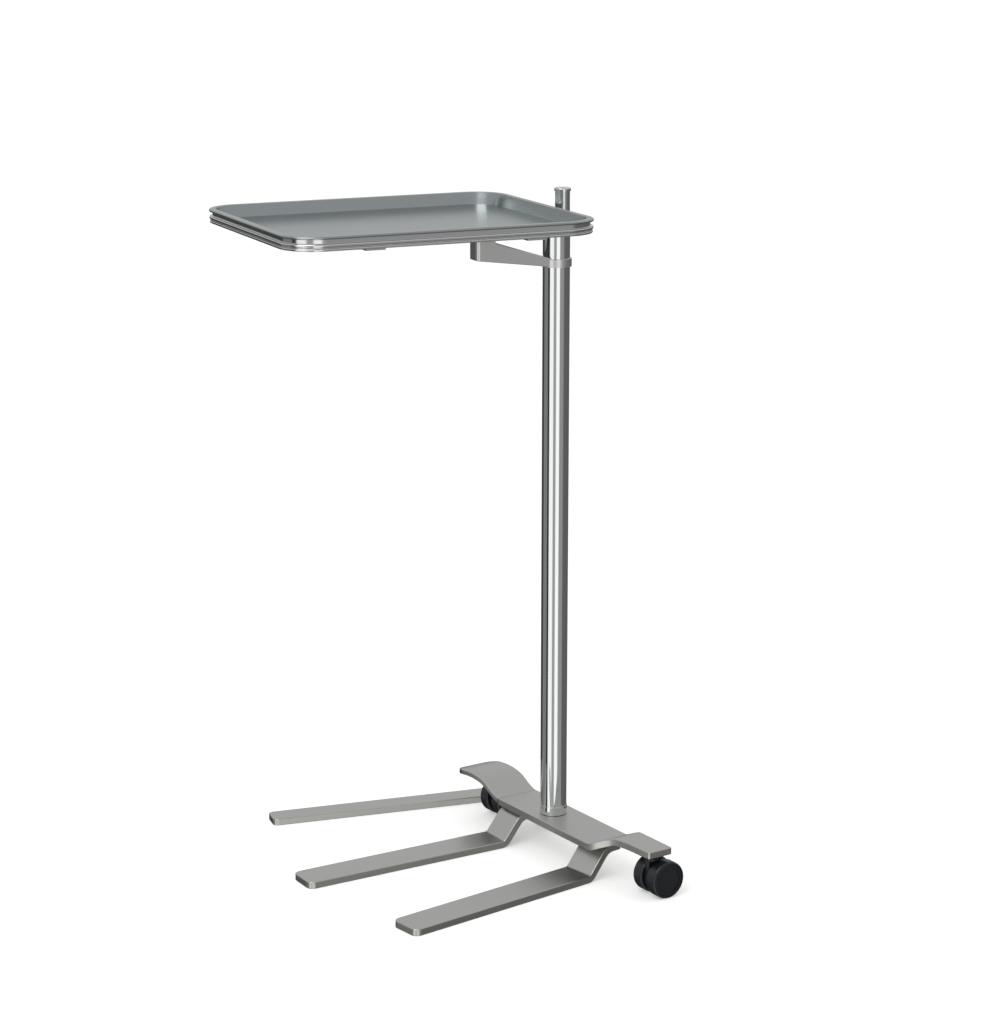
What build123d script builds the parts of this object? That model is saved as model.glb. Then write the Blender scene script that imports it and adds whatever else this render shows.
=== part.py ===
from build123d import *
import os
from math import cos, radians, sin, tan

os.makedirs("parts", exist_ok=True)

# Lowered mayo stand, millimetres, Z up. The crossbar runs along X with the foot pedal at -X,
# and the legs and the tray reach towards -Y. Sizes are set out from the floor point under the
# column; the last step moves the finished stand so that its footprint is centred on the origin.

# Tray and the frame it drops into
tray_length = 515.0
tray_width = 425.0
tray_corner = 58.0
tray_depth = 19.5
tray_sheet = 1.2
tray_draft_deg = 13.0
rim_height = 1100.0
rim_bead = 4.4
rim_flange = 10.0
frame_band = 5.4
frame_groove = 1.5
frame_lower_band = 4.2
frame_top_gap = 0.3
frame_neck_inset = 5.4
frame_wall = 3.2
frame_recess = 6.6
upper_band_inset = 0.6
upper_band_round = 2.2
lower_band_inset = 1.4
lower_band_round = 1.6
strap_width = 32.0
strap_thickness = 3.0
far_strap_y = -395.0
spine_width = 40.0
spine_thickness = 5.0
tray_turn_deg = -9.6
rim_to_column = 16.0

# Column, square post and gas spring
tube_outer = 44.4
tube_wall = 1.6
post_to_bore = 0.801
post_corner_share = 0.227
post_wall = 2.0
post_top_below_tube = 64.0
plug_gap = 0.1
foot_plug_height = 28.0
foot_screw_head = 8.4
foot_screw_shank = 5.0
foot_screw_head_height = 4.0
foot_screw_depth = 16.0
foot_screw_inset = 5.0
guide_height = 14.0
guide_gap = 0.3
sliding_gap = 0.35
foot_gap = 0.5
end_ring_outer = 45.8
end_ring_height = 15.0
shoe_height = 26.0
shoe_recess = 1.0
cylinder_to_post = 0.667
cylinder_wall = 2.0
cylinder_length = 500.0
cylinder_above_bar = 44.0
cylinder_gap = 1.5
cylinder_end = 12.0
rod_outer = 10.0
rod_bore = 5.6
piston_height = 12.0
piston_gap = 0.3
piston_margin = 8.0
rod_seat = 4.0
pin_outer = 5.0
pin_length = 66.0
pin_gap = 0.5
pin_rest_gap = 0.4
hanger_outer = 16.0
hanger_stud = 8.0
stud_depth = 20.0
plug_length = 34.0
plug_flange = 4.0
lift_travel = 420.0

# Arm between the column and the tray frame
arm_reach = 147.0
arm_width = 32.0
arm_ring_height = 13.0
arm_ring_wall = 2.8
arm_ring_drop = 100.0
arm_end_bottom_drop = 82.0
arm_end_top_drop = 46.0
arm_pad_length = 30.0
arm_pad_depth = 9.0
arm_pad_slope = 4.0
arm_end_corner = 6.0
arm_edge_round = 1.6
arm_root_y = -8.0
saddle_half_width = 26.0
saddle_corner = 5.0
saddle_screw_half_spacing = 8.0
saddle_screw_seat = 16.0

# Hand post above the rim
hand_post_outer = 24.0
hand_post_wall = 1.5
hand_post_offset = 10.4
hand_post_rise = 26.0
hand_spigot = 9.0
hand_spigot_depth = 12.0
hand_post_floor = 3.0
hand_cap_outer = 27.0
hand_cap_height = 5.0
hand_cap_corner = 1.8
hand_cap_lip = 8.0

# Flat bar base
bar_thickness = 12.0
bar_width = 80.0
bar_above_wheels = 5.5
bar_left_end = -108.0
bar_right_end = 278.5
step_start = 158.0
step_run = 36.0
step_rise = 15.5
tab_width = 47.0
bend_radius = 16.0
bar_edge_round = 1.5
tab_corner = 3.5
notch_start_x = 146.0
notch_waist_x = 186.0
notch_waist_depth = 13.0

# Three floor legs
leg_width = 60.0
leg_tip_corner = 12.0
leg_bend_radius = 20.0
leg_pivot_y = -20.0
middle_leg_x = -79.0
middle_leg_turn_deg = -2.6
middle_leg_tip = 437.0
middle_leg_bend_run = 33.0
middle_leg_bend_end = -25.0
middle_leg_root_end = -12.0
near_leg_x = 130.0
near_leg_turn_deg = 5.6
near_leg_tip = 405.0
near_leg_bend_run = 36.0
near_leg_bend_end = 0.0
near_leg_root_end = 24.0
outer_leg_width = 42.0
outer_leg_turn_deg = -15.2
outer_leg_x = -293.0
outer_leg_tip = 346.0
outer_leg_back_y = 95.0
outer_leg_root_x = -100.0
outer_leg_bend = 26.0
outer_tip_corner = 9.0
riser_foot = 11.0
riser_shoulder = 3.0
riser_bend_radius = 9.0
outer_screw_half_spacing = 5.8
outer_screw_inset = 11.0

# Foot pedal, its hinge and the caster arm below it
pedal_thickness = 9.5
pedal_gap = 1.5
pedal_tip_x = -258.0
pedal_rise_x = -150.0
pedal_rise = 16.0
pedal_crown_x = -182.0
pedal_crown = 22.0
pedal_fall_x = -218.0
pedal_fall = 20.5
pedal_toe = 9.0
pedal_edge_round = 2.2
hinge_x = -124.0
hinge_below_bar = 8.5
hinge_pin_outer = 8.0
hinge_pin_length = 24.0
hinge_cheek = 3.0
hinge_cheek_gap = 1.0
hinge_eye_radius = 7.0
bracket_length = 26.0
bracket_screw_inset = 14.0
lug_width = 12.0
lug_reach_left = 8.0
lug_reach_right = 11.0
tongue_margin = 6.0
lever_thickness = 6.0
lever_below_bar = 13.5
pedal_press_deg = 5.0
caster_arm_thickness = 5.0
caster_arm_width = 26.0
caster_arm_above_wheels = 4.0
caster_arm_overhang = 14.0
caster_arm_rise_end = -120.0
caster_arm_rise_run = 33.0
caster_arm_right_end = -10.0
caster_arm_narrow_x = -145.0
caster_arm_bend_radius = 8.0
caster_arm_corner = 10.0
caster_arm_screw_xs = (-70.0, -28.0)

# Twin-wheel casters
wheel_outer = 62.0
wheel_width = 22.0
wheel_gap = 13.0
tyre_depth = 4.5
axle_outer = 8.0
caster_trail = 15.0
caster_y = 13.0
caster_left_x = -193.0
caster_right_x = 258.5
caster_stem = 10.0
caster_cap_outer = 24.0
caster_cap_above_wheels = 3.5
cap_flange = 3.0
stem_depth = 18.0
right_stem_rise = 9.0
stem_collar = 3.0
stem_collar_gap = 0.3
body_side_gap = 1.0
body_disc_inset = 7.0
hub_dish_depth = 1.4
hub_rim_width = 4.5
hub_web = 2.6
axle_end_inset = 3.0
tyre_round = 3.6
turning_gap = 0.05

# Screws
screw_shank = 6.0
screw_head = 10.0
screw_head_height = 4.0
screw_gap = 0.1
screw_skin = 3.0
screw_chamfer = 0.8

# Heights and radii that follow from the sizes above
bar_top = wheel_outer + bar_above_wheels
bar_bottom = bar_top - bar_thickness
tube_radius = tube_outer / 2
tube_bore = tube_radius - tube_wall
post_side = round(post_to_bore * 2 * tube_bore, 1)
post_corner = round(post_corner_share * post_side, 1)
cylinder_outer = round(cylinder_to_post * post_side, 1)
tube_bottom = bar_top + foot_gap
frame_bottom = rim_height - rim_bead - frame_recess - frame_band - frame_groove - frame_lower_band
tube_top = frame_bottom - plug_flange
post_top = tube_top - post_top_below_tube
post_inside = post_side - 2 * post_wall
cylinder_bottom = bar_top + cylinder_above_bar
cylinder_top = cylinder_bottom + cylinder_length
plug_bottom = tube_top - plug_length
strap_bottom = frame_bottom - strap_thickness
spine_bottom = strap_bottom - spine_thickness
arm_pad_top = rim_height - arm_end_top_drop
pedal_root_x = bar_left_end - pedal_gap
hinge_z = bar_bottom - hinge_below_bar
lever_top = bar_bottom - lever_below_bar
lever_bottom = lever_top - lever_thickness
caster_arm_bottom = wheel_outer + caster_arm_above_wheels
caster_arm_top = caster_arm_bottom + caster_arm_thickness
caster_cap_top = wheel_outer + caster_cap_above_wheels
leg_rise = bar_bottom - bar_thickness
tab_bottom = bar_bottom + step_rise
near_strap_y = -arm_reach + strap_width / 2
above_base = 2 * caster_arm_top

pieces = {}


def keep(shape, name):
    pieces[name] = list(shape.solids())


def disc(radius, z_low, z_high, x=0.0, y=0.0):
    return Pos(x, y, z_low) * extrude(Circle(radius), z_high - z_low)


def rod_along_x(radius, x_low, x_high, y, z):
    return Pos(x_low, y, z) * (Plane.YZ * extrude(Circle(radius), x_high - x_low))


def rod_along_y(radius, y_low, y_high, x, z):
    return Pos(x, y_high, z) * (Plane.XZ * extrude(Circle(radius), y_high - y_low))


def box_between(x_low, x_high, y_low, y_high, z_low, z_high):
    centre = Pos((x_low + x_high) / 2, (y_low + y_high) / 2, (z_low + z_high) / 2)
    return centre * Box(x_high - x_low, y_high - y_low, z_high - z_low)


def strip_along_x(points, thickness, radius, y_low, y_high):
    # The points give the underside of the strip; the metal lies above it.
    underside = FilletPolyline(*points, radius=radius)
    face = make_face(underside.offset_2d(thickness, side=Side.LEFT))
    return Pos(0, y_high, 0) * extrude(Plane.XZ * face, y_high - y_low)


def round_flat_edges(bar, radius):
    # Rounds every edge of a bar except the upright ones.
    rims = [edge for edge in bar.edges() if abs((edge % 0.5).Z) < 0.95]
    return fillet(rims, radius)


def screw(x, y, head_bottom, shank_top):
    head_top = head_bottom + screw_head_height
    head = chamfer(disc(screw_head / 2, head_bottom, head_top).edges().group_by(Axis.Z)[0], screw_chamfer)
    return Pos(x, y, 0) * (head + disc(screw_shank / 2, head_top, shank_top))


def screw_hole(x, y, z_low, z_high):
    return disc(screw_shank / 2 + screw_gap, z_low, z_high, x, y)


def turned(shape, x, degrees):
    return Pos(x, leg_pivot_y, 0) * Rot(0, 0, degrees) * Pos(0, -leg_pivot_y, 0) * shape


def with_tray(shape):
    return Rot(0, 0, tray_turn_deg) * shape


# Crossbar with the step up over the right caster
bar_path = [
    (bar_left_end, bar_bottom),
    (step_start, bar_bottom),
    (step_start + step_run, tab_bottom),
    (bar_right_end, tab_bottom),
]
bar_half = bar_width / 2
tab_near_y = bar_half - tab_width
crossbar = strip_along_x(bar_path, bar_thickness, bend_radius, -bar_half, bar_half)
near_edge = Spline(
    (notch_start_x, -bar_half),
    (notch_waist_x, tab_near_y - notch_waist_depth),
    (bar_right_end, tab_near_y),
    tangents=[(1, 0.1), (1, 0.1)],
)
near_cut = Polyline(
    (bar_right_end, tab_near_y),
    (bar_right_end + 10, tab_near_y),
    (bar_right_end + 10, -bar_half - 10),
    (notch_start_x, -bar_half - 10),
    (notch_start_x, -bar_half),
)
crossbar -= extrude(make_face(near_edge + near_cut), above_base)
right_corners = crossbar.edges().filter_by(Axis.Z).group_by(Axis.X)[-1]
crossbar = fillet(right_corners, tab_corner)
crossbar = round_flat_edges(crossbar, bar_edge_round)

# Floor legs: two bend up under the crossbar, the third passes outside the left caster


def flat_leg(tip, bend_run, bend_end, root_end):
    path = [(-tip, 0), (bend_end - bend_run, 0), (bend_end, leg_rise), (root_end, leg_rise)]
    leg = strip_along_x(path, bar_thickness, leg_bend_radius, -leg_width / 2, leg_width / 2)
    leg = fillet(leg.edges().filter_by(Axis.Z).group_by(Axis.X)[0], leg_tip_corner)
    return Rot(0, 0, 90) * round_flat_edges(leg, bar_edge_round)


middle_leg = flat_leg(middle_leg_tip, middle_leg_bend_run, middle_leg_bend_end, middle_leg_root_end)
middle_leg = turned(middle_leg, middle_leg_x, middle_leg_turn_deg)
near_leg = flat_leg(near_leg_tip, near_leg_bend_run, near_leg_bend_end, near_leg_root_end)
near_leg = turned(near_leg, near_leg_x, near_leg_turn_deg)

outer_angle = radians(outer_leg_turn_deg)
outer_tip = (outer_leg_x + outer_leg_tip * sin(outer_angle), -outer_leg_tip * cos(outer_angle))
outer_corner = (outer_leg_x - outer_leg_back_y * tan(outer_angle), outer_leg_back_y)
riser_start = outer_leg_back_y - outer_leg_bend
outer_path = FilletPolyline(
    outer_tip,
    outer_corner,
    (outer_leg_root_x, outer_leg_back_y),
    (outer_leg_root_x, riser_start - outer_leg_bend / 6),
    radius=outer_leg_bend,
)
outer_section = Plane(origin=outer_path @ 0, x_dir=(0, 0, 1), z_dir=outer_path % 0)
outer_leg = sweep(outer_section * Rectangle(bar_thickness, outer_leg_width), path=outer_path)
outer_leg = Pos(0, 0, bar_thickness / 2) * outer_leg
tip_edges = outer_leg.edges().filter_by(Axis.Z).sort_by(Axis.Y)[0:2]
outer_leg = fillet(tip_edges, outer_tip_corner)
outer_root_bottom = bar_bottom - caster_arm_thickness - bar_thickness
arm_far_y = bar_half
arm_near_y = arm_far_y - caster_arm_width
riser_path = [
    (-riser_start, 0),
    (-riser_start + riser_foot, 0),
    (-arm_far_y - riser_shoulder, outer_root_bottom),
    (-arm_near_y, outer_root_bottom),
]
riser = strip_along_x(riser_path, bar_thickness, riser_bend_radius, -outer_leg_width / 2, outer_leg_width / 2)
outer_leg += Pos(outer_leg_root_x, 0, 0) * Rot(0, 0, -90) * riser
outer_leg = round_flat_edges(outer_leg, bar_edge_round)

# Plate that carries the left caster, bolted under the crossbar and hidden below the pedal
arm_path = [
    (caster_left_x - caster_arm_overhang, caster_arm_bottom),
    (caster_arm_rise_end - caster_arm_rise_run, caster_arm_bottom),
    (caster_arm_rise_end, bar_bottom - caster_arm_thickness),
    (caster_arm_right_end, bar_bottom - caster_arm_thickness),
]
caster_arm = strip_along_x(arm_path, caster_arm_thickness, caster_arm_bend_radius, tab_near_y, arm_far_y)
caster_arm -= box_between(caster_arm_narrow_x, 0, tab_near_y, arm_near_y, 0, above_base)
caster_arm = fillet(caster_arm.edges().filter_by(Axis.Z).group_by(Axis.X)[0], caster_arm_corner)

# Screws from below hold the caster arm and the foot of the outer leg; the other legs are welded
base_screws = []
arm_screw_y = (arm_near_y + arm_far_y) / 2
arm_screw_bottom = bar_bottom - caster_arm_thickness - screw_head_height
outer_screw_x = bar_left_end + outer_screw_inset
outer_screw_bottom = outer_root_bottom - screw_head_height
far_screws = []
for x in caster_arm_screw_xs:
    far_screws.append((x, arm_screw_y, arm_screw_bottom))
for side in (-outer_screw_half_spacing, outer_screw_half_spacing):
    far_screws.append((outer_screw_x, arm_screw_y + side, outer_screw_bottom))
for x, y, head_bottom in far_screws:
    base_screws.append(screw(x, y, head_bottom, bar_top - screw_skin))
    hole = screw_hole(x, y, 0, bar_top - screw_skin)
    crossbar -= hole
    caster_arm -= hole
    outer_leg -= hole

# Square post, the plug in its foot and the guide on its top
post_profile = RectangleRounded(post_side, post_side, post_corner)
post_hollow = RectangleRounded(post_inside, post_inside, post_corner - post_wall)
square_post = Pos(0, 0, bar_top) * extrude(post_profile - post_hollow, post_top - bar_top)
plug_side = post_inside - 2 * plug_gap
plug_profile = RectangleRounded(plug_side, plug_side, post_corner - post_wall)
foot_plug = Pos(0, 0, bar_top) * extrude(plug_profile, foot_plug_height)
rod_bottom = bar_top + rod_seat
pin_passage = pin_outer / 2 + pin_gap
foot_plug -= disc(pin_passage, bar_top, rod_bottom)
foot_plug -= disc(rod_outer / 2, rod_bottom, bar_top + foot_plug_height)
crossbar -= disc(pin_passage, bar_bottom, bar_top)
foot_head_top = bar_bottom + foot_screw_head_height
foot_shank_top = bar_top + foot_screw_depth
foot_screws = []
for side in (-1, 1):
    x = side * (post_inside / 2 - foot_screw_inset)
    head = disc(foot_screw_head / 2, bar_bottom, foot_head_top, x)
    foot_screws.append(head + disc(foot_screw_shank / 2, foot_head_top, foot_shank_top, x))
    crossbar -= disc(foot_screw_head / 2 + screw_gap, bar_bottom, foot_head_top, x)
    shank_hole = disc(foot_screw_shank / 2 + screw_gap, foot_head_top, foot_shank_top, x)
    crossbar -= shank_hole
    foot_plug -= shank_hole
post_guide = disc(tube_bore - guide_gap, post_top, post_top + guide_height)
post_guide += Pos(0, 0, post_top - guide_height) * extrude(plug_profile, guide_height)
post_guide -= disc(cylinder_outer / 2 + cylinder_gap, post_top - guide_height, post_top + guide_height)

# Locking gas spring: the rod stands on the foot plug, the cylinder rises with the column
piston_bottom = cylinder_bottom + lift_travel + cylinder_end + piston_margin
cylinder_bore = cylinder_outer / 2 - cylinder_wall
gas_rod = disc(rod_outer / 2, rod_bottom, piston_bottom)
gas_rod -= disc(rod_bore / 2, rod_bottom, rod_bottom + pin_length)
gas_piston = disc(cylinder_bore - piston_gap, piston_bottom, piston_bottom + piston_height)
gas_cylinder = disc(cylinder_outer / 2, cylinder_bottom, cylinder_top)
gas_cylinder -= disc(cylinder_bore, cylinder_bottom + cylinder_end, cylinder_top - cylinder_end)
gas_cylinder -= disc(rod_outer / 2 + turning_gap, cylinder_bottom, cylinder_bottom + cylinder_end)
gas_cylinder = fillet(gas_cylinder.edges().group_by(Axis.Z)[-1], cylinder_wall)
pin_bottom = lever_top + pin_rest_gap
release_pin = disc(pin_outer / 2, pin_bottom, pin_bottom + pin_length)
hanger_rod = disc(hanger_outer / 2, cylinder_top, plug_bottom)
hanger_rod += disc(hanger_stud / 2, plug_bottom, plug_bottom + stud_depth)

# Outer column: tube, polished end ring, nylon shoes and top plug
column_ring = Circle(tube_radius) - Circle(tube_bore)
lift_tube = Pos(0, 0, tube_bottom) * extrude(column_ring, tube_top - tube_bottom)
end_ring = Pos(0, 0, tube_bottom) * extrude(Circle(end_ring_outer / 2) - Circle(tube_radius), end_ring_height)
outer_rims = end_ring.edges().filter_by(GeomType.CIRCLE).sort_by(SortBy.RADIUS)[-2:]
end_ring = fillet(outer_rims, 0.5)
shoe_hole = post_side + 2 * sliding_gap
shoe_bottom = tube_bottom + shoe_recess
guide_shoes = disc(tube_bore, shoe_bottom, shoe_bottom + shoe_height)
guide_shoes -= box_between(-shoe_hole / 2, shoe_hole / 2, -shoe_hole / 2, shoe_hole / 2, 0, post_top)
top_plug = disc(tube_bore, plug_bottom, tube_top) + disc(tube_radius, tube_top, frame_bottom)
top_plug -= disc(hanger_stud / 2, plug_bottom, plug_bottom + stud_depth)
hand_spigot_bottom = frame_bottom - hand_spigot_depth
top_plug -= disc(hand_spigot / 2, hand_spigot_bottom, frame_bottom, 0, hand_post_offset)

# Hand post and its cap
hand_cap_bottom = rim_height + hand_post_rise - hand_cap_height
hand_post = disc(hand_post_outer / 2, frame_bottom, hand_cap_bottom, 0, hand_post_offset)
hand_inner = hand_post_outer / 2 - hand_post_wall
hand_post -= disc(hand_inner, frame_bottom + hand_post_floor, hand_cap_bottom, 0, hand_post_offset)
hand_post += disc(hand_spigot / 2, hand_spigot_bottom, frame_bottom, 0, hand_post_offset)
hand_post_cap = disc(hand_cap_outer / 2, hand_cap_bottom, rim_height + hand_post_rise, 0, hand_post_offset)
hand_post_cap = fillet(hand_post_cap.edges().group_by(Axis.Z)[-1], hand_cap_corner)
hand_post_cap += disc(hand_inner, hand_cap_bottom - hand_cap_lip, hand_cap_bottom, 0, hand_post_offset)

# Tapered arm cast in one with its ring
ring_bottom = rim_height - arm_ring_drop
ring_top = ring_bottom + arm_ring_height
end_bottom = rim_height - arm_end_bottom_drop
pad_start = -arm_reach + arm_pad_length
arm_side = Polyline(
    (arm_root_y, ring_bottom),
    (-arm_reach, end_bottom),
    (-arm_reach, arm_pad_top),
    (pad_start, arm_pad_top),
    (pad_start + arm_pad_slope, arm_pad_top - arm_pad_depth),
    (arm_root_y, ring_top - 1),
    close=True,
)
tray_arm = Pos(-arm_width / 2, 0, 0) * extrude(Plane.YZ * make_face(arm_side), arm_width)
tray_arm = fillet(tray_arm.edges().filter_by(Axis.Z).group_by(Axis.Y)[0], arm_end_corner)
arm_sides = tray_arm.faces().filter_by(Axis.X)
tray_arm = fillet(arm_sides.edges().filter_by(lambda edge: abs((edge % 0.5).Z) < 0.95), arm_edge_round)
tray_arm += disc(tube_radius + arm_ring_wall, ring_bottom, ring_top)
tray_arm -= disc(tube_radius, plug_bottom - tube_outer, rim_height)

# Frame ring with its recess, band, groove and lower band


def frame_layer(inset, z_low, z_high):
    length = tray_length - 2 * inset
    width = tray_width - 2 * inset
    corner = tray_corner - inset
    return Pos(0, 0, z_low) * extrude(RectangleRounded(width, length, corner), z_high - z_low)


band_top = rim_height - rim_bead - frame_recess
band_bottom = band_top - frame_band
groove_bottom = band_bottom - frame_groove
neck_top = rim_height - tray_sheet - frame_top_gap
frame_inner = frame_neck_inset + frame_wall
upper_band = frame_layer(upper_band_inset, band_bottom, band_top)
upper_edges = upper_band.edges().group_by(Axis.Z)
upper_band = fillet(upper_edges[-1] + upper_edges[0], upper_band_round)
lower_band = frame_layer(lower_band_inset, frame_bottom, groove_bottom)
lower_edges = lower_band.edges().group_by(Axis.Z)
lower_band = fillet(lower_edges[-1] + lower_edges[0], lower_band_round)
frame_ring = frame_layer(frame_neck_inset, frame_bottom, neck_top) + upper_band + lower_band
frame_ring -= frame_layer(frame_inner, frame_bottom - 1, rim_height)
tray_centre_y = -rim_to_column - tray_length / 2
frame_ring = Pos(0, tray_centre_y, 0) * frame_ring

strap_half = tray_width / 2 - frame_neck_inset
frame_straps = []
for y in (near_strap_y, far_strap_y):
    half = strap_width / 2
    frame_straps.append(box_between(-strap_half, strap_half, y - half, y + half, strap_bottom, frame_bottom))
spine_half = spine_width / 2
spine_far_y = far_strap_y - strap_width / 2
spine_near_y = near_strap_y + strap_width / 2
frame_spine = box_between(-spine_half, spine_half, spine_far_y, spine_near_y, spine_bottom, strap_bottom)
tray_saddle = box_between(
    -saddle_half_width, saddle_half_width, -arm_reach, pad_start, arm_pad_top, spine_bottom
)
tray_saddle = fillet(tray_saddle.edges().filter_by(Axis.Z), saddle_corner)
saddle_screws = []
saddle_screw_y = (pad_start - arm_reach) / 2
saddle_head_bottom = end_bottom + saddle_screw_seat
saddle_head_top = saddle_head_bottom + screw_head_height
for side in (-saddle_screw_half_spacing, saddle_screw_half_spacing):
    saddle_screws.append(screw(side, saddle_screw_y, saddle_head_bottom, strap_bottom))
    hole = screw_hole(side, saddle_screw_y, saddle_head_bottom, strap_bottom)
    tray_arm -= hole + disc(screw_head / 2 + screw_gap, ring_bottom, saddle_head_top, side, saddle_screw_y)
    tray_saddle -= hole
    frame_spine -= hole

# Drop-in tray with a flat flange and a rolled rim
floor_top = rim_height - tray_depth
wall_run = tray_depth * tan(radians(tray_draft_deg))


def tray_layer(inset):
    return RectangleRounded(tray_width - 2 * inset, tray_length - 2 * inset, tray_corner - inset)


pan_outer = loft([
    Pos(0, 0, rim_height - tray_sheet) * tray_layer(rim_flange),
    Pos(0, 0, floor_top - tray_sheet) * tray_layer(rim_flange + wall_run),
])
pan_inner = loft([
    Pos(0, 0, rim_height) * tray_layer(rim_flange + tray_sheet),
    Pos(0, 0, floor_top) * tray_layer(rim_flange + wall_run + tray_sheet),
])
flange = Pos(0, 0, rim_height - tray_sheet) * extrude(tray_layer(rim_bead / 2), tray_sheet)
bead = Pos(0, 0, rim_height - rim_bead) * extrude(tray_layer(0) - tray_layer(rim_bead), rim_bead)
bead_edges = bead.edges().group_by(Axis.Z)
bead = fillet(bead_edges[0] + bead_edges[-1], 0.48 * rim_bead)
tray = Pos(0, tray_centre_y, 0) * (flange + bead + pan_outer - pan_inner)

# Foot pedal: one curved flat bar with a round toe
pedal_top = Spline(
    (pedal_root_x, bar_top),
    (pedal_rise_x, bar_top + pedal_rise),
    (pedal_crown_x, bar_top + pedal_crown),
    (pedal_fall_x, bar_top + pedal_fall),
    (pedal_tip_x, bar_top + pedal_toe),
    tangents=[(-1, 0.15), (-1, -0.5)],
)
pedal_under_points = []
for step in range(9):
    point = pedal_top @ (step / 8)
    along = pedal_top % (step / 8)
    pedal_under_points.append((point.X - along.Y * pedal_thickness, point.Y + along.X * pedal_thickness))
pedal_under = Spline(*pedal_under_points)
root_line = Line(pedal_top @ 0, pedal_under @ 0)
toe_line = Line(pedal_top @ 1, pedal_under @ 1)
pedal_face = make_face([pedal_top, pedal_under, root_line, toe_line])
foot_pedal = Pos(0, bar_half, 0) * extrude(Plane.XZ * pedal_face, bar_width)
toe_centre = pedal_tip_x + bar_half
toe_shape = disc(bar_half, 0, above_base, toe_centre)
toe_shape += box_between(toe_centre, bar_left_end, -bar_half, bar_half, 0, above_base)
foot_pedal = round_flat_edges(foot_pedal & toe_shape, pedal_edge_round)

# Lever below the pedal: hinge lug and the tongue that lifts the release pin
lug_half = lug_width / 2
lug_left = hinge_x - lug_reach_left
lug_right = hinge_x + lug_reach_right
tongue_end = pin_outer / 2 + tongue_margin
lever_side = Polyline(
    (lug_left, lever_bottom),
    (tongue_end, lever_bottom),
    (tongue_end, lever_top),
    (lug_right, lever_top),
    (lug_right, bar_top - pedal_thickness / 2),
    (lug_left, bar_top + pedal_thickness / 2),
    close=True,
)
pedal_lever = Pos(0, lug_half, 0) * extrude(Plane.XZ * make_face(lever_side), lug_width)
pedal_lever -= foot_pedal
pedal_lever -= rod_along_y(hinge_pin_outer / 2 + turning_gap, -lug_half, lug_half, hinge_x, hinge_z)

# Hinge bracket under the end of the crossbar
cheek_inner = lug_half + hinge_cheek_gap
cheek_outer = cheek_inner + hinge_cheek
bracket_right = bar_left_end + bracket_length
plate_bottom = bar_bottom - hinge_cheek
hinge_bracket = box_between(bar_left_end, bracket_right, -cheek_outer, cheek_outer, plate_bottom, bar_bottom)
for y_low, y_high in ((-cheek_outer, -cheek_inner), (cheek_inner, cheek_outer)):
    cheek_left = hinge_x - hinge_eye_radius
    cheek = box_between(cheek_left, bracket_right, y_low, y_high, hinge_z - hinge_eye_radius, bar_bottom)
    corners = cheek.edges().filter_by(Axis.Y).group_by(Axis.X)[0]
    hinge_bracket += fillet(corners, 0.7 * hinge_eye_radius)
hinge_bracket -= rod_along_y(hinge_pin_outer / 2, -cheek_outer, cheek_outer, hinge_x, hinge_z)
bracket_screw_x = bar_left_end + bracket_screw_inset
base_screws.append(screw(bracket_screw_x, 0, plate_bottom - screw_head_height, bar_top - screw_skin))
bracket_hole = screw_hole(bracket_screw_x, 0, 0, bar_top - screw_skin)
hinge_bracket -= bracket_hole
crossbar -= bracket_hole
hinge_pin = rod_along_y(hinge_pin_outer / 2, -hinge_pin_length / 2, hinge_pin_length / 2, hinge_x, hinge_z)

# Casters: a slim body between two wheels, turning on a stem
wheel_radius = wheel_outer / 2
axle_half = wheel_gap / 2 + wheel_width - axle_end_inset
body_half = wheel_gap / 2 - body_side_gap
stem_radius = caster_stem / 2
stem_bottom = caster_cap_top - stem_depth
cap_bottom = caster_cap_top - cap_flange


def caster_body():
    side = Pos(caster_trail, wheel_radius) * Circle(wheel_radius - body_disc_inset)
    neck = Polyline(
        (-stem_radius - stem_collar, cap_bottom),
        (-stem_radius - stem_collar, wheel_radius + stem_radius + stem_collar),
        (caster_trail / 3, wheel_radius / 2),
        (2 * caster_trail, 1.5 * wheel_radius),
        (caster_trail - stem_collar, cap_bottom),
        close=True,
    )
    outline = side + make_face(neck)
    body = Pos(-body_half, 0, 0) * extrude(Plane.YZ * outline, 2 * body_half)
    cap = disc(caster_cap_outer / 2, cap_bottom, caster_cap_top)
    cap = fillet(cap.edges().group_by(Axis.Z)[-1], 0.4 * cap_flange)
    body += cap
    body -= disc(stem_radius + turning_gap, stem_bottom, caster_cap_top)
    body -= rod_along_x(axle_outer / 2, -body_half, body_half, caster_trail, wheel_radius)
    return body


def wheel_parts(side):
    inner = wheel_gap / 2
    outer = inner + wheel_width
    if side < 0:
        inner, outer = -outer, -inner
    tyre = rod_along_x(wheel_radius, inner, outer, caster_trail, wheel_radius)
    rims = tyre.edges().filter_by(GeomType.CIRCLE)
    tyre = fillet(rims, tyre_round)
    hub_radius = wheel_radius - tyre_depth
    tyre -= rod_along_x(hub_radius, inner - 1, outer + 1, caster_trail, wheel_radius)
    hub = rod_along_x(hub_radius, inner, outer, caster_trail, wheel_radius)
    outer_face = hub.faces().sort_by(Axis.X)[-1 if side > 0 else 0]
    hub = chamfer(outer_face.edges(), 1.0)
    dish_low = outer - hub_dish_depth if side > 0 else inner
    bore_low = inner if side > 0 else inner + hub_web
    bore_length = wheel_width - hub_web
    dish_radius = hub_radius - hub_rim_width
    hub -= rod_along_x(dish_radius, dish_low, dish_low + hub_dish_depth, caster_trail, wheel_radius)
    bore_radius = axle_outer / 2 + turning_gap
    hub -= rod_along_x(bore_radius, bore_low, bore_low + bore_length, caster_trail, wheel_radius)
    return hub, tyre


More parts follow.
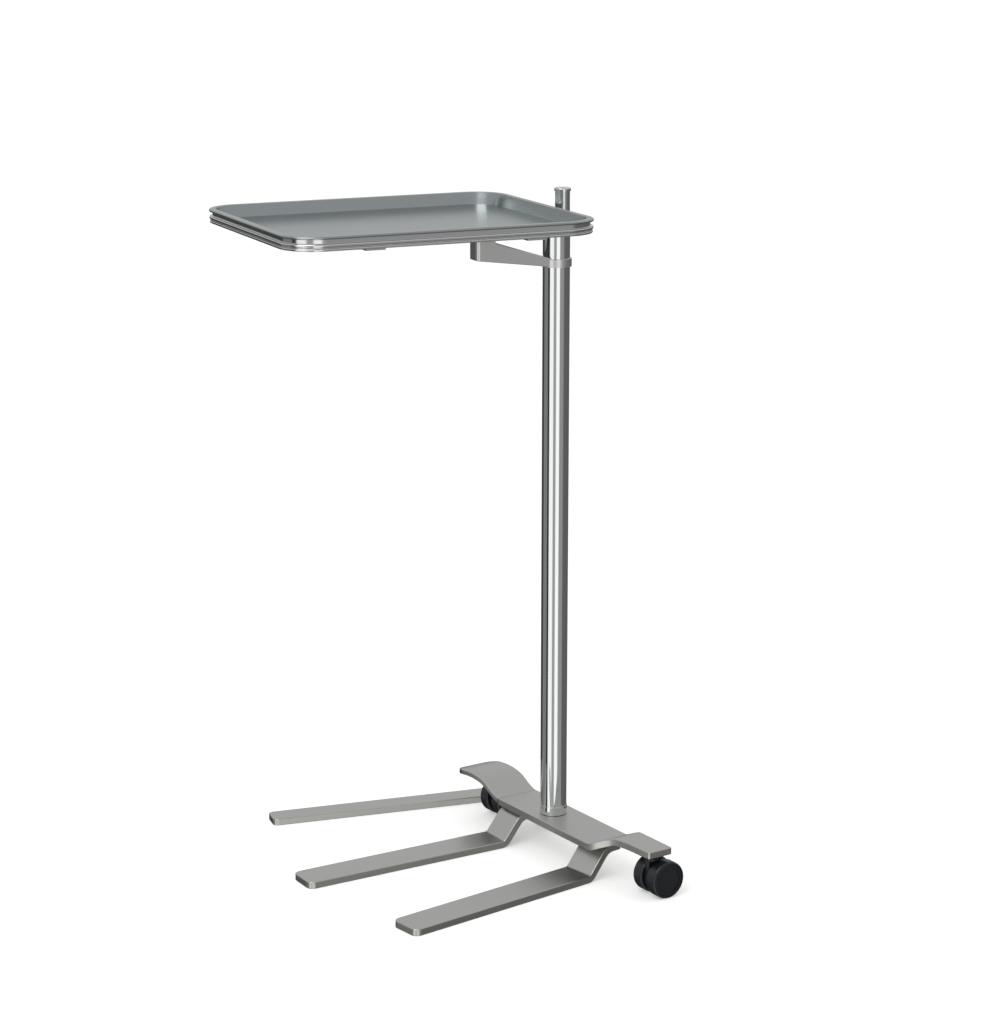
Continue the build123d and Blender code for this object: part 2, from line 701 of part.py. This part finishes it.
for label, x, plate_z, stem_top in (
    ("left", caster_left_x, caster_arm_bottom, caster_arm_top),
    ("right", caster_right_x, tab_bottom, tab_bottom + right_stem_rise),
):
    place = Pos(x, caster_y, 0)
    stem = disc(stem_radius, stem_bottom, stem_top)
    stem += disc(stem_radius + stem_collar, caster_cap_top + stem_collar_gap, plate_z)
    hole = disc(stem_radius, plate_z, stem_top, x, caster_y)
    caster_arm -= hole
    crossbar -= hole
    keep(place * stem, f"{label}_caster_stem")
    keep(place * caster_body(), f"{label}_caster_body")
    axle = rod_along_x(axle_outer / 2, -axle_half, axle_half, caster_trail, wheel_radius)
    keep(place * axle, f"{label}_caster_axle")
    for name, side in (("inner", -1), ("outer", 1)):
        hub, tyre = wheel_parts(side)
        keep(place * hub, f"{label}_{name}_wheel")
        keep(place * tyre, f"{label}_{name}_tyre")

keep(crossbar, "crossbar")
keep(middle_leg, "middle_leg")
keep(near_leg, "near_leg")
keep(outer_leg, "outer_leg")
keep(caster_arm, "caster_arm")
keep(Compound(children=base_screws), "base_screws")
keep(square_post, "square_post")
keep(foot_plug, "foot_plug")
keep(Compound(children=foot_screws), "foot_screws")
keep(post_guide, "post_guide")
keep(gas_rod, "gas_rod")
keep(gas_piston, "gas_piston")
keep(hinge_bracket, "hinge_bracket")
keep(hinge_pin, "hinge_pin")
keep(foot_pedal, "foot_pedal")
keep(pedal_lever, "pedal_lever")
keep(release_pin, "release_pin")
keep(lift_tube, "lift_tube")
keep(end_ring, "tube_end_ring")
keep(guide_shoes, "guide_shoes")
keep(gas_cylinder, "gas_cylinder")
keep(hanger_rod, "hanger_rod")
keep(with_tray(top_plug), "top_plug")
keep(with_tray(tray_arm), "tray_arm")
keep(with_tray(tray_saddle), "tray_saddle")
keep(with_tray(Compound(children=saddle_screws)), "saddle_screws")
keep(with_tray(frame_spine), "frame_spine")
keep(with_tray(Compound(children=frame_straps)), "frame_straps")
keep(with_tray(frame_ring), "frame_ring")
keep(with_tray(hand_post), "hand_post")
keep(with_tray(hand_post_cap), "hand_post_cap")
keep(with_tray(tray), "tray")

# Centre the footprint on the origin and write one file for each piece
boxes = [solid.bounding_box() for solids in pieces.values() for solid in solids]
middle_x = (min(box.min.X for box in boxes) + max(box.max.X for box in boxes)) / 2
middle_y = (min(box.min.Y for box in boxes) + max(box.max.Y for box in boxes)) / 2
to_origin = Pos(-round(middle_x, 1), -round(middle_y, 1), 0)
for name, solids in pieces.items():
    moved = [to_origin * solid for solid in solids]
    body = moved[0] if len(moved) == 1 else Compound(children=moved)
    body.label = name
    export_step(body, f"parts/{name}.step")
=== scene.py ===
# %% [markdown]
# # A stainless mayo instrument stand
# The stand is mostly metal: a mirror-polished column, satin flat bars on the floor, a satin tray
# in a bright frame, and black casters. The shapes come from the CAD model, which is loaded below
# and stays where it is. This lesson gives each piece its surface, then lights and frames it.

# %% Load the model
import bpy
import math
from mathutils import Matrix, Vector

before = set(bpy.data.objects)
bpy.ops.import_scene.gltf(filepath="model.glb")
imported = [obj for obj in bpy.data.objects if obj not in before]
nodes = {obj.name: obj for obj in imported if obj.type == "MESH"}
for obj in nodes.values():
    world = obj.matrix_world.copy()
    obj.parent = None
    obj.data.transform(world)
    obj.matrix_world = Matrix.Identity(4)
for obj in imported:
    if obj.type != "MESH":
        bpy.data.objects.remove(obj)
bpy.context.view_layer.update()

# %% [markdown]
# Colours are written as the hex values a designer would pick on screen. Blender works in linear
# light, so one function does that change for every colour in the lesson.


# %% Colours
def linear(hex_colour):
    values = [int(hex_colour[i:i + 2], 16) / 255 for i in (1, 3, 5)]
    return tuple(v / 12.92 if v <= 0.04045 else ((v + 0.055) / 1.055) ** 2.4 for v in values) + (1.0,)


print("mid grey", linear("#808080"))

# %% [markdown]
# A material is a small network of nodes. Each node has settings (which kind of maths, which
# space) and inputs (numbers, or links from other nodes). One helper adds a node with both, so
# that the recipes below read from top to bottom.


# %% One helper for nodes
def add_node(tree, kind, settings=None, inputs=None):
    node = tree.nodes.new(kind)
    for name, value in (settings or {}).items():
        setattr(node, name, value)
    for name, value in (inputs or {}).items():
        if isinstance(value, bpy.types.NodeSocket):
            tree.links.new(value, node.inputs[name])
        else:
            node.inputs[name].default_value = value
    return node


def new_material(name):
    material = bpy.data.materials.new(name)
    material.use_nodes = True
    material.node_tree.nodes.clear()
    return material, material.node_tree


def give(material, *names):
    for name in names:
        piece = nodes[name]
        if not piece.material_slots:
            piece.data.materials.append(material)
        for slot in piece.material_slots:
            slot.material = material
    print(material.name, "on", len(names), "pieces")


# %% [markdown]
# ## Grain
# Every steel surface here was finished with an abrasive belt or wheel, which leaves fine parallel
# scratches. Noise that is stretched along one direction looks like that. The pattern comes from
# object coordinates in metres, so a scale of 1000 is one feature per millimetre. Real scratches
# are about 0.1 mm apart, too fine to show at this distance, so they are drawn near 1 mm.


# %% A grained metal
def grained_metal(name, colour, dark_colour, roughness, spread, grain_turn, across_mm, along_mm, bump):
    material, tree = new_material(name)
    place = add_node(tree, "ShaderNodeTexCoord")
    turned = add_node(tree, "ShaderNodeMapping", {"vector_type": "POINT"}, {
        "Vector": place.outputs["Object"],
        "Rotation": (0, 0, math.radians(grain_turn)),
    })
    stretched = add_node(tree, "ShaderNodeMapping", {"vector_type": "POINT"}, {
        "Vector": turned.outputs["Vector"],
        "Scale": (1000 / along_mm, 1000 / across_mm, 1000 / across_mm),
    })
    grain = add_node(tree, "ShaderNodeTexNoise", {"noise_dimensions": "3D"}, {
        "Vector": stretched.outputs["Vector"],
        "Scale": 1.0,
        "Detail": 3.0,
        "Roughness": 0.6,
    })
    clouds = add_node(tree, "ShaderNodeTexNoise", {"noise_dimensions": "3D"}, {
        "Vector": place.outputs["Object"],
        "Scale": 14.0,
        "Detail": 2.0,
    })
    tint = add_node(tree, "ShaderNodeMix", {"data_type": "RGBA"}, {
        "Factor": grain.outputs["Fac"],
        "A": linear(dark_colour),
        "B": linear(colour),
    })
    both = add_node(tree, "ShaderNodeMath", {"operation": "MULTIPLY_ADD"}, {
        0: clouds.outputs["Fac"],
        1: 0.5,
        2: grain.outputs["Fac"],
    })
    rough = add_node(tree, "ShaderNodeMapRange", {"clamp": True}, {
        "Value": both.outputs["Value"],
        "From Min": 0.4,
        "From Max": 1.1,
        "To Min": roughness - spread,
        "To Max": roughness + spread,
    })
    relief = add_node(tree, "ShaderNodeBump", {}, {
        "Height": grain.outputs["Fac"],
        "Strength": bump,
        "Distance": 0.0004,
    })
    surface = add_node(tree, "ShaderNodeBsdfPrincipled", {}, {
        "Base Color": tint.outputs["Result"],
        "Metallic": 1.0,
        "Roughness": rough.outputs["Result"],
        "Normal": relief.outputs["Normal"],
    })
    add_node(tree, "ShaderNodeOutputMaterial", {}, {"Surface": surface.outputs["BSDF"]})
    return material


# %% [markdown]
# ## Column and hand post
# The round column, its foot ring and the hand post are stainless tube buffed to a mirror. What
# the eye sees is mostly the studio: upright white and dark bands. The faint
# grain is drawn out along X and kept short along Z, close to the rings that a belt leaves.

# %% Mirror-polished tube
mirror_tube = grained_metal(
    "mirror polished stainless tube", "#E2E3E3", "#D3D4D5", 0.07, 0.02, 0, 1.2, 60, 0.02
)
give(mirror_tube, "lift_tube", "tube_end_ring", "hand_post", "hand_post_cap")

# %% [markdown]
# ## Flat bars
# The crossbar, the pedal and the floor legs are 12 mm stainless bar with a satin belt finish along
# their length, and the thinner caster plate has the same finish. Each bar points another way, so
# each gets its own copy of the recipe, turned to its own direction. The satin softens reflections
# into a broad grey sheen.

# %% Satin bars
bar_turns = {
    "crossbar": 0,
    "foot_pedal": 0,
    "caster_arm": 0,
    "middle_leg": 87.4,
    "near_leg": 84.4,
    "outer_leg": 74.8,
}
for bar, turn in bar_turns.items():
    satin_bar = grained_metal(
        "satin belt finished bar " + bar.replace("_", " "),
        "#CACAC5", "#B9B9B4", 0.33, 0.05, turn, 0.9, 60, 0.10,
    )
    give(satin_bar, bar)

# %% [markdown]
# ## Tray and frame
# The tray is pressed from 1.2 mm sheet with a finer, cooler and darker satin. The frame it drops into, with
# its straps, is bright drawn steel, so its rounded bands show thin white and dark lines.

# %% Tray sheet and bright frame
tray_grain_turn = 80.4
satin_sheet = grained_metal(
    "satin pressed tray sheet", "#A8AEAE", "#9BA1A1", 0.22, 0.03, tray_grain_turn, 0.7, 60, 0.04
)
give(satin_sheet, "tray")
bright_frame = grained_metal(
    "bright drawn frame steel", "#D8D9D8", "#C9CAC9", 0.15, 0.03, tray_grain_turn, 1.5, 70, 0.05
)
give(bright_frame, "frame_ring", "frame_straps", "frame_spine", "tray_saddle")

# %% [markdown]
# ## Arm
# The arm is cast and then polished to a soft sheen, duller than the tube. A casting keeps a slight
# waviness, like orange peel a few millimetres wide, so its noise isn't stretched.

# %% Polished casting
polished_casting = grained_metal("polished casting", "#DEDEDC", "#D2D2D0", 0.34, 0.04, 0, 3.0, 3.0, 0.06)
give(polished_casting, "tray_arm")

# %% [markdown]
# ## Inner post and fittings
# The square post that the column slides on is drawn tube, slightly cloudy. Screws, hinge, lever
# and stems are zinc plated, a slightly blue, cloudy finish. The gas spring rod is hard chrome.


# %% Post, zinc and chrome
drawn_post = grained_metal("drawn square tube", "#CDD0D2", "#BDC0C2", 0.22, 0.04, 0, 2.5, 2.5, 0.04)
give(drawn_post, "square_post")
zinc_plate = grained_metal("bright zinc plate", "#C3C8CD", "#AEB3B9", 0.30, 0.08, 0, 4.0, 4.0, 0.08)
give(
    zinc_plate, "base_screws", "foot_screws", "saddle_screws", "hinge_bracket", "hinge_pin", "pedal_lever",
    "release_pin", "left_caster_stem", "right_caster_stem", "left_caster_axle", "right_caster_axle",
)
hard_chrome = grained_metal("hard chrome rod", "#DADDDF", "#D0D3D5", 0.06, 0.02, 0, 1.0, 20, 0.01)
give(hard_chrome, "gas_rod", "gas_piston")
turned_aluminium = grained_metal("turned aluminium", "#C9CACB", "#B9BABC", 0.26, 0.05, 0, 1.0, 30, 0.10)
give(turned_aluminium, "foot_plug", "top_plug")


# %% [markdown]
# ## Plastics and enamel
# Casters are moulded nylon with a polyurethane tread, both near black with a blue cast. Moulds are
# spark eroded, which leaves a fine pebble, here about 0.8 mm. Plastics are not metallic and have
# an IOR near 1.5.


# %% A moulded surface
def moulded(name, colour, pale_colour, roughness, ior, grain_mm, bump, coat):
    material, tree = new_material(name)
    place = add_node(tree, "ShaderNodeTexCoord")
    pebble = add_node(tree, "ShaderNodeTexNoise", {"noise_dimensions": "3D"}, {
        "Vector": place.outputs["Object"],
        "Scale": 1000 / grain_mm,
        "Detail": 3.0,
    })
    scuffs = add_node(tree, "ShaderNodeTexNoise", {"noise_dimensions": "3D"}, {
        "Vector": place.outputs["Object"],
        "Scale": 45.0,
        "Detail": 5.0,
        "Roughness": 0.65,
    })
    tint = add_node(tree, "ShaderNodeMix", {"data_type": "RGBA"}, {
        "Factor": scuffs.outputs["Fac"],
        "A": linear(colour),
        "B": linear(pale_colour),
    })
    rough = add_node(tree, "ShaderNodeMapRange", {"clamp": True}, {
        "Value": scuffs.outputs["Fac"],
        "From Min": 0.3,
        "From Max": 0.7,
        "To Min": roughness - 0.06,
        "To Max": roughness + 0.06,
    })
    relief = add_node(tree, "ShaderNodeBump", {}, {
        "Height": pebble.outputs["Fac"],
        "Strength": bump,
        "Distance": 0.0003,
    })
    surface = add_node(tree, "ShaderNodeBsdfPrincipled", {}, {
        "Base Color": tint.outputs["Result"],
        "Metallic": 0.0,
        "Roughness": rough.outputs["Result"],
        "IOR": ior,
        "Coat Weight": coat,
        "Normal": relief.outputs["Normal"],
    })
    add_node(tree, "ShaderNodeOutputMaterial", {}, {"Surface": surface.outputs["BSDF"]})
    return material


caster_sides = ("left", "right")
black_nylon = moulded("moulded black nylon", "#0E1216", "#171C22", 0.36, 1.53, 0.8, 0.15, 0.0)
give(black_nylon, *[f"{side}_caster_body" for side in caster_sides])
give(black_nylon, *[f"{side}_{place}_wheel" for side in caster_sides for place in ("inner", "outer")])
tread = moulded("polyurethane tread", "#0F1419", "#191F26", 0.30, 1.50, 1.2, 0.10, 0.0)
give(tread, *[f"{side}_{place}_tyre" for side in caster_sides for place in ("inner", "outer")])
slide_nylon = moulded("natural nylon", "#DAD7C9", "#E6E4DA", 0.42, 1.53, 0.8, 0.08, 0.0)
give(slide_nylon, "guide_shoes", "post_guide")
black_enamel = moulded("black stoving enamel", "#0B0C0D", "#121314", 0.22, 1.50, 1.5, 0.04, 0.4)
give(black_enamel, "gas_cylinder", "hanger_rod")

# %% [markdown]
# ## Floor and light
# The stand was photographed on white, with tall soft boxes in front of it. Those boxes are what
# draws the bright stripes down the column. The world is white for the camera and an even pale
# light for plain surfaces. Metal mirrors a round studio wall instead: two tall bright panels, with
# darker stretches between and behind them.
#
# The floor glows a little for the camera only, which brings it to white and keeps the shadow,
# without putting more light on the stand. It is left out of mirrored rays, because a polished
# tube seen from above would otherwise mirror nothing but pale floor.

# %% Floor
bpy.ops.mesh.primitive_plane_add(size=60, location=(0, 0, 0))
floor = bpy.context.object
floor.name = "studio_floor"
floor_material, floor_tree = new_material("white studio floor")
floor_ray = add_node(floor_tree, "ShaderNodeLightPath")
lift = add_node(floor_tree, "ShaderNodeMath", {"operation": "MULTIPLY"}, {
    0: floor_ray.outputs["Is Camera Ray"],
    1: 0.34,
})
floor_surface = add_node(floor_tree, "ShaderNodeBsdfPrincipled", {}, {
    "Base Color": linear("#F6F6F5"),
    "Roughness": 0.9,
    "Specular IOR Level": 0.1,
    "Emission Color": (1, 1, 1, 1),
    "Emission Strength": lift.outputs["Value"],
})
add_node(floor_tree, "ShaderNodeOutputMaterial", {}, {"Surface": floor_surface.outputs["BSDF"]})
floor.data.materials.append(floor_material)
floor.visible_glossy = False

# %% [markdown]
# The wall's brightness depends only on the compass direction, and is written as a list of
# directions in degrees, anticlockwise from +X, with the brightness there. A pale upper room takes
# over at the horizon, because flat steel seen from this low mirrors what stands just above it.

# %% Studio world
wall = [
    (-180, 0.06), (-154, 0.06), (-146, 0.26), (-108, 0.24), (-103, 0.03), (-91, 0.03), (-86, 1.25),
    (-57, 1.25), (-52, 0.42), (-34, 0.42), (-29, 1.3), (-6, 1.3), (0, 0.36),
    (24, 0.36), (32, 0.16), (70, 0.14), (140, 0.12), (150, 0.06), (180, 0.06),
]
world = bpy.data.worlds.new("studio")
bpy.context.scene.world = world
world.use_nodes = True
sky = world.node_tree
sky.nodes.clear()
direction = add_node(sky, "ShaderNodeTexCoord")
parts = add_node(sky, "ShaderNodeSeparateXYZ", {}, {"Vector": direction.outputs["Generated"]})
compass = add_node(sky, "ShaderNodeMath", {"operation": "ARCTAN2"}, {
    0: parts.outputs["Y"],
    1: parts.outputs["X"],
})
share = add_node(sky, "ShaderNodeMapRange", {}, {
    "Value": compass.outputs["Value"],
    "From Min": -math.pi,
    "From Max": math.pi,
    "To Min": 0.0,
    "To Max": 1.0,
})
ramp = add_node(sky, "ShaderNodeValToRGB", {}, {"Fac": share.outputs["Result"]})
stops = ramp.color_ramp.elements
while len(stops) > 1:
    stops.remove(stops[-1])
for index, (degrees, level) in enumerate(wall):
    stop = stops[0] if index == 0 else stops.new((degrees + 180) / 360)
    stop.position = (degrees + 180) / 360
    stop.color = (level, level, level, 1)
height = add_node(sky, "ShaderNodeMapRange", {"clamp": True}, {
    "Value": parts.outputs["Z"],
    "From Min": -0.05,
    "From Max": 0.12,
})
room = add_node(sky, "ShaderNodeMix", {"data_type": "RGBA"}, {
    "Factor": height.outputs["Result"],
    "A": ramp.outputs["Color"],
    "B": (0.62, 0.63, 0.64, 1),
})
ray = add_node(sky, "ShaderNodeLightPath")
seen = add_node(sky, "ShaderNodeBackground", {}, {"Color": (1, 1, 1, 1), "Strength": 1.0})
soft = add_node(sky, "ShaderNodeBackground", {}, {"Color": (1, 1, 1, 1), "Strength": 0.75})
mirrored = add_node(sky, "ShaderNodeBackground", {}, {"Color": room.outputs["Result"], "Strength": 1.0})
lit = add_node(sky, "ShaderNodeMixShader", {}, {
    0: ray.outputs["Is Glossy Ray"],
    1: soft.outputs["Background"],
    2: mirrored.outputs["Background"],
})
whole = add_node(sky, "ShaderNodeMixShader", {}, {
    0: ray.outputs["Is Camera Ray"],
    1: lit.outputs["Shader"],
    2: seen.outputs["Background"],
})
add_node(sky, "ShaderNodeOutputWorld", {}, {"Surface": whole.outputs["Shader"]})
print("studio wall has", len(wall), "directions")

# %% [markdown]
# One large soft lamp hangs above and in front. It whitens the floor, gives the casters their
# edge light and lets the legs throw a faint shadow.

# %% Lamp
lamp_data = bpy.data.lights.new("soft_box", "AREA")
lamp_data.shape = "RECTANGLE"
lamp_width = 2.4
lamp_data.size = lamp_width
lamp_data.size_y = lamp_width
lamp_data.energy = 45
lamp = bpy.data.objects.new("soft_box", lamp_data)
bpy.context.scene.collection.objects.link(lamp)
lamp.location = (1.2, -2.2, 3.4)
lamp.rotation_euler = (Vector((0, 0, 0.4)) - lamp.location).to_track_quat("-Z", "Y").to_euler()

# %% [markdown]
# ## Camera
# This camera was fitted to the photograph: a long lens, about 4.3 metres from the column and half a
# metre above the tray. The sensor is 36 mm along the picture's longer side, so a focal length of
# 2700 pixels in a picture 1024 high is 94.9 mm.

# %% Camera
column_x, column_y = 0.0575, 0.2171
photo_height_px = 1024
focal_length_px = 2700
sensor_mm = 36
camera_data = bpy.data.cameras.new("camera")
camera_data.sensor_width = sensor_mm
camera_data.lens = focal_length_px * sensor_mm / photo_height_px
camera_data.clip_end = 60
camera = bpy.data.objects.new("camera", camera_data)
bpy.context.scene.collection.objects.link(camera)
camera.location = (column_x + 3.544, column_y - 2.491, 1.641)
pitch = math.radians(13.63)
look = Vector((-0.8315 * math.cos(pitch), 0.5556 * math.cos(pitch), -math.sin(pitch)))
camera.rotation_euler = look.to_track_quat("-Z", "Y").to_euler()
bpy.context.scene.camera = camera
bpy.context.scene.view_settings.view_transform = "Standard"
